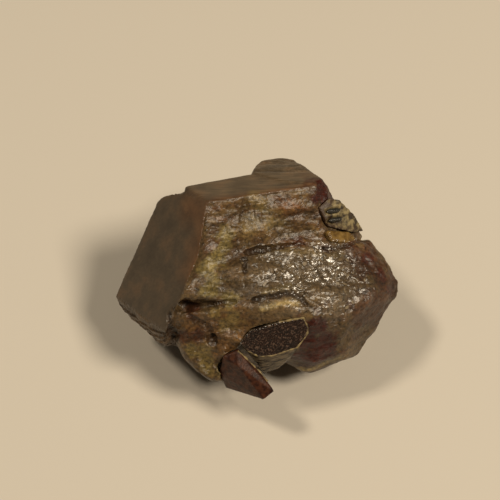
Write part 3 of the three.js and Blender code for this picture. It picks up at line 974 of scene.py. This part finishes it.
def small_crystal(node_name, piece_name, slot, material, fill=FILL, **relief):
    """Grows one grain of the CAD into the clearance round it and gives it its relief."""
    cad = merged_copy(node_name)
    faces = tree_of(cad)
    mesh = remeshed(cad, GRAIN_CELL)
    flat = np.array([faces.find_nearest(v.co)[1].dot(FLAT_BREAK) > SAME_FACE
                     for v in mesh.vertices], float)
    move_points(mesh, points_of(mesh) + fill * normals_of(mesh))
    away = np.array([grown_tree.find_nearest(v.co)[3] for v in mesh.vertices])
    mark(mesh, etch=1 - (1 - ETCH_ON_BREAK) * flat, side=1 - flat,
         contact=np.clip(1 - away / STAIN_REACH, 0, 1))
    add_piece(piece_name, grown(mesh, etched, material, **relief), material, [node_name])


small_crystal("dark_crystal", "dark_crystal_skin", "dark_bastnaesite", dark,
              Swell_Depth=0.10 * MM, Ridge_Depth=0.06 * MM, Grain_Depth=0.05 * MM,
              Facet_Size=0.6 * MM, Facet_Slope=0.2, Seed=3.0)
small_crystal("wedge_crystal", "brown_blade", "brown_bastnaesite", brown,
              Swell_Depth=0.16 * MM, Ridge_Depth=0.06 * MM, Grain_Depth=0.05 * MM,
              Facet_Size=0.9 * MM, Facet_Slope=0.16, Seed=5.0)
small_crystal("feldspar_grain", "feldspar_skin", "feldspar", chalky, Swell_Size=1.0 * MM,
              Swell_Depth=0.30 * MM, Ridge_Depth=0.10 * MM, Grain_Depth=0.10 * MM,
              Facet_Size=0.7 * MM, Facet_Slope=0.5, Seed=11.0)
small_crystal("yellow_grain", "honey_grain", "yellow_grain", honey, fill=0.3 * MM,
              Swell_Depth=0.12 * MM, Ridge_Depth=0.06 * MM, Grain_Depth=0.05 * MM,
              Facet_Size=0.5 * MM, Facet_Slope=0.4, Seed=13.0)
for bar in ("upper", "lower"):
    small_crystal("black_bar_" + bar, "black_blade_" + bar, "black_grain", black, fill=0.07 * MM,
                  Swell_Depth=0.05 * MM, Ridge_Depth=0.03 * MM, Grain_Depth=0.03 * MM,
                  Facet_Size=0.4 * MM, Facet_Slope=0.3, Seed=17.0)

# %% [markdown]
# ## Cleavage flakes
#
# Where the front glitters, some steps have broken free as tiny tilted plates. They repeat by the
# hundred, so a tree scatters them: points on the skin as dense as the glint field says, a thin
# five-sided plate on each, laid along the skin, then tipped a little at random.


# %% Scatter the flakes
FLAKE_CORNERS = 5
SMALLEST_FLAKE, LARGEST_FLAKE = (0.4, 0.3, 0.8), (1.3, 0.9, 1.2)  # shares of the usual one


def flake_tree():
    """Thin plates strewn over the glint zone of the mesh that it is given."""
    tree, given = node_tree("cleavage flakes", {"Flakes Per Area": 1.1e6, "Flake Size": 0.65 * MM,
                                                "Thickness": 0.05 * MM, "Tip": 0.22, "Seed": 4})
    crowd = put(tree, "ShaderNodeMath", {0: read(tree, "glint"), 1: given["Flakes Per Area"]},
                operation="MULTIPLY").outputs[0]
    scattered = put(tree, "GeometryNodeDistributePointsOnFaces",
                    {"Mesh": given["Geometry"], "Density": crowd, "Seed": given["Seed"]}).outputs
    radius = put(tree, "ShaderNodeMath", {0: given["Flake Size"], 1: 0.5},
                 operation="MULTIPLY").outputs[0]
    plate = put(tree, "GeometryNodeMeshCylinder",
                {"Vertices": FLAKE_CORNERS, "Radius": radius,
                 "Depth": given["Thickness"]}).outputs["Mesh"]
    least = put(tree, "ShaderNodeMath", {0: given["Tip"], 1: -1.0},
                operation="MULTIPLY").outputs[0]
    tip = put(tree, "FunctionNodeRandomValue", {0: least, 1: given["Tip"], "Seed": given["Seed"]},
              data_type="FLOAT_VECTOR").outputs[0]
    turned = put(tree, "FunctionNodeRotateRotation",
                 {"Rotation": scattered["Rotation"], "Rotate By": tip}, rotation_space="LOCAL").outputs[0]
    size = put(tree, "FunctionNodeRandomValue",
               {0: SMALLEST_FLAKE, 1: LARGEST_FLAKE, "Seed": given["Seed"]},
               data_type="FLOAT_VECTOR").outputs[0]
    plates = put(tree, "GeometryNodeInstanceOnPoints",
                 {"Points": scattered["Points"], "Instance": plate, "Rotation": turned,
                  "Scale": size}).outputs[0]
    finish_tree(tree, plates, given["Material"])
    return tree


flake = plain_mineral("bastnaesite cleavage flakes", "#4f3f2d", "#8a7a60", 0.8, 0.34,
                      BASTNAESITE_IOR, 0.01)
flakes = grown(grown_skin, flake_tree(), flake)
add_piece("cleavage_flakes", flakes, flake)

# %% [markdown]
# ## Crust along the seams
#
# Pale clay filled the thin seam round the dark crystal and the one beside the brown blade. A seam
# is a path, so a tree lays the crust as a wandering bead along it: the path is cut into even
# steps, noise shifts each step and swells it, and a small ring is swept along.


# %% Lay the crust
BEAD_SIDES = 7


def crust_tree():
    """A lumpy, wandering bead along every edge of the mesh that it is given."""
    tree, given = node_tree("crust along a seam", {"Bead Radius": 0.14 * MM, "Wander": 0.12 * MM,
                                                   "Step": 0.12 * MM, "Lump Size": 0.5 * MM})
    path = put(tree, "GeometryNodeMeshToCurve", {"Mesh": given["Geometry"]}).outputs[0]
    even = put(tree, "GeometryNodeResampleCurve", {"Curve": path, "Length": given["Step"]},
               mode="LENGTH").outputs[0]
    here = put(tree, "GeometryNodeInputPosition").outputs[0]
    per_metre = put(tree, "ShaderNodeMath", {0: 1.0, 1: given["Lump Size"]},
                    operation="DIVIDE").outputs[0]
    lumps = put(tree, "ShaderNodeTexNoise",
                {"Vector": here, "Scale": per_metre, "Detail": 2.0}).outputs
    way = put(tree, "ShaderNodeVectorMath", {0: lumps["Color"], 1: CENTRED},
              operation="ADD").outputs[0]
    shift = put(tree, "ShaderNodeVectorMath", {0: way, "Scale": given["Wander"]},
                operation="SCALE").outputs[0]
    wandering = put(tree, "GeometryNodeSetPosition", {"Geometry": even, "Offset": shift}).outputs[0]
    swell = put(tree, "ShaderNodeMapRange", {"Value": lumps[0], "From Min": 0.35, "From Max": 0.65,
                                             "To Min": 0.6, "To Max": 1.2}).outputs[0]
    ring = put(tree, "GeometryNodeCurvePrimitiveCircle",
               {"Resolution": BEAD_SIDES, "Radius": given["Bead Radius"]}).outputs[0]
    bead = put(tree, "GeometryNodeCurveToMesh",
               {"Curve": wandering, "Profile Curve": ring, "Scale": swell,
                "Fill Caps": True}).outputs[0]
    finish_tree(tree, bead, given["Material"])
    return tree


RIM_START = 1.0 * MM  # how far right of the dark crystal's middle its rim has crust


def rim_edges(cad):
    """The edges of the dark crystal's flat break, on its right and lower side, as a mesh."""
    shape = bmesh.new()
    shape.from_mesh(cad)
    shape.normal_update()
    middle = sum((v.co for v in shape.verts), Vector()) / len(shape.verts)
    keep = []
    for edge in shape.edges:
        broken = [face.normal.dot(FLAT_BREAK) > SAME_FACE for face in edge.link_faces]
        centre = (edge.verts[0].co + edge.verts[1].co) / 2
        if sum(broken) == 1 and (centre.x > middle.x + RIM_START or centre.z < middle.z):
            keep.append([v.co.copy() for v in edge.verts])
    rim = bpy.data.meshes.new("rim")
    corners = [corner for pair in keep for corner in pair]
    rim.from_pydata(corners, [(2 * k, 2 * k + 1) for k in range(len(keep))], [])
    shape.free()
    return modified(rim, "WELD", merge_threshold=SAME_PLACE)


crusts = crust_tree()
rim = grown(rim_edges(cad_grains["dark_crystal"]), crusts, crust)
add_piece("rim_crust", rim, crust)

BLADE_SEAM = [(0.4355, 0.078, 0.531), (0.507, 0.030, 0.420), (0.533, -0.007, 0.393)]
seam_path = bpy.data.meshes.new("blade seam")
seam_path.from_pydata([spot(*place) for place in BLADE_SEAM], [(0, 1), (1, 2)], [])
add_piece("blade_crust", grown(seam_path, crusts, crust, Bead_Radius=0.17 * MM), crust)
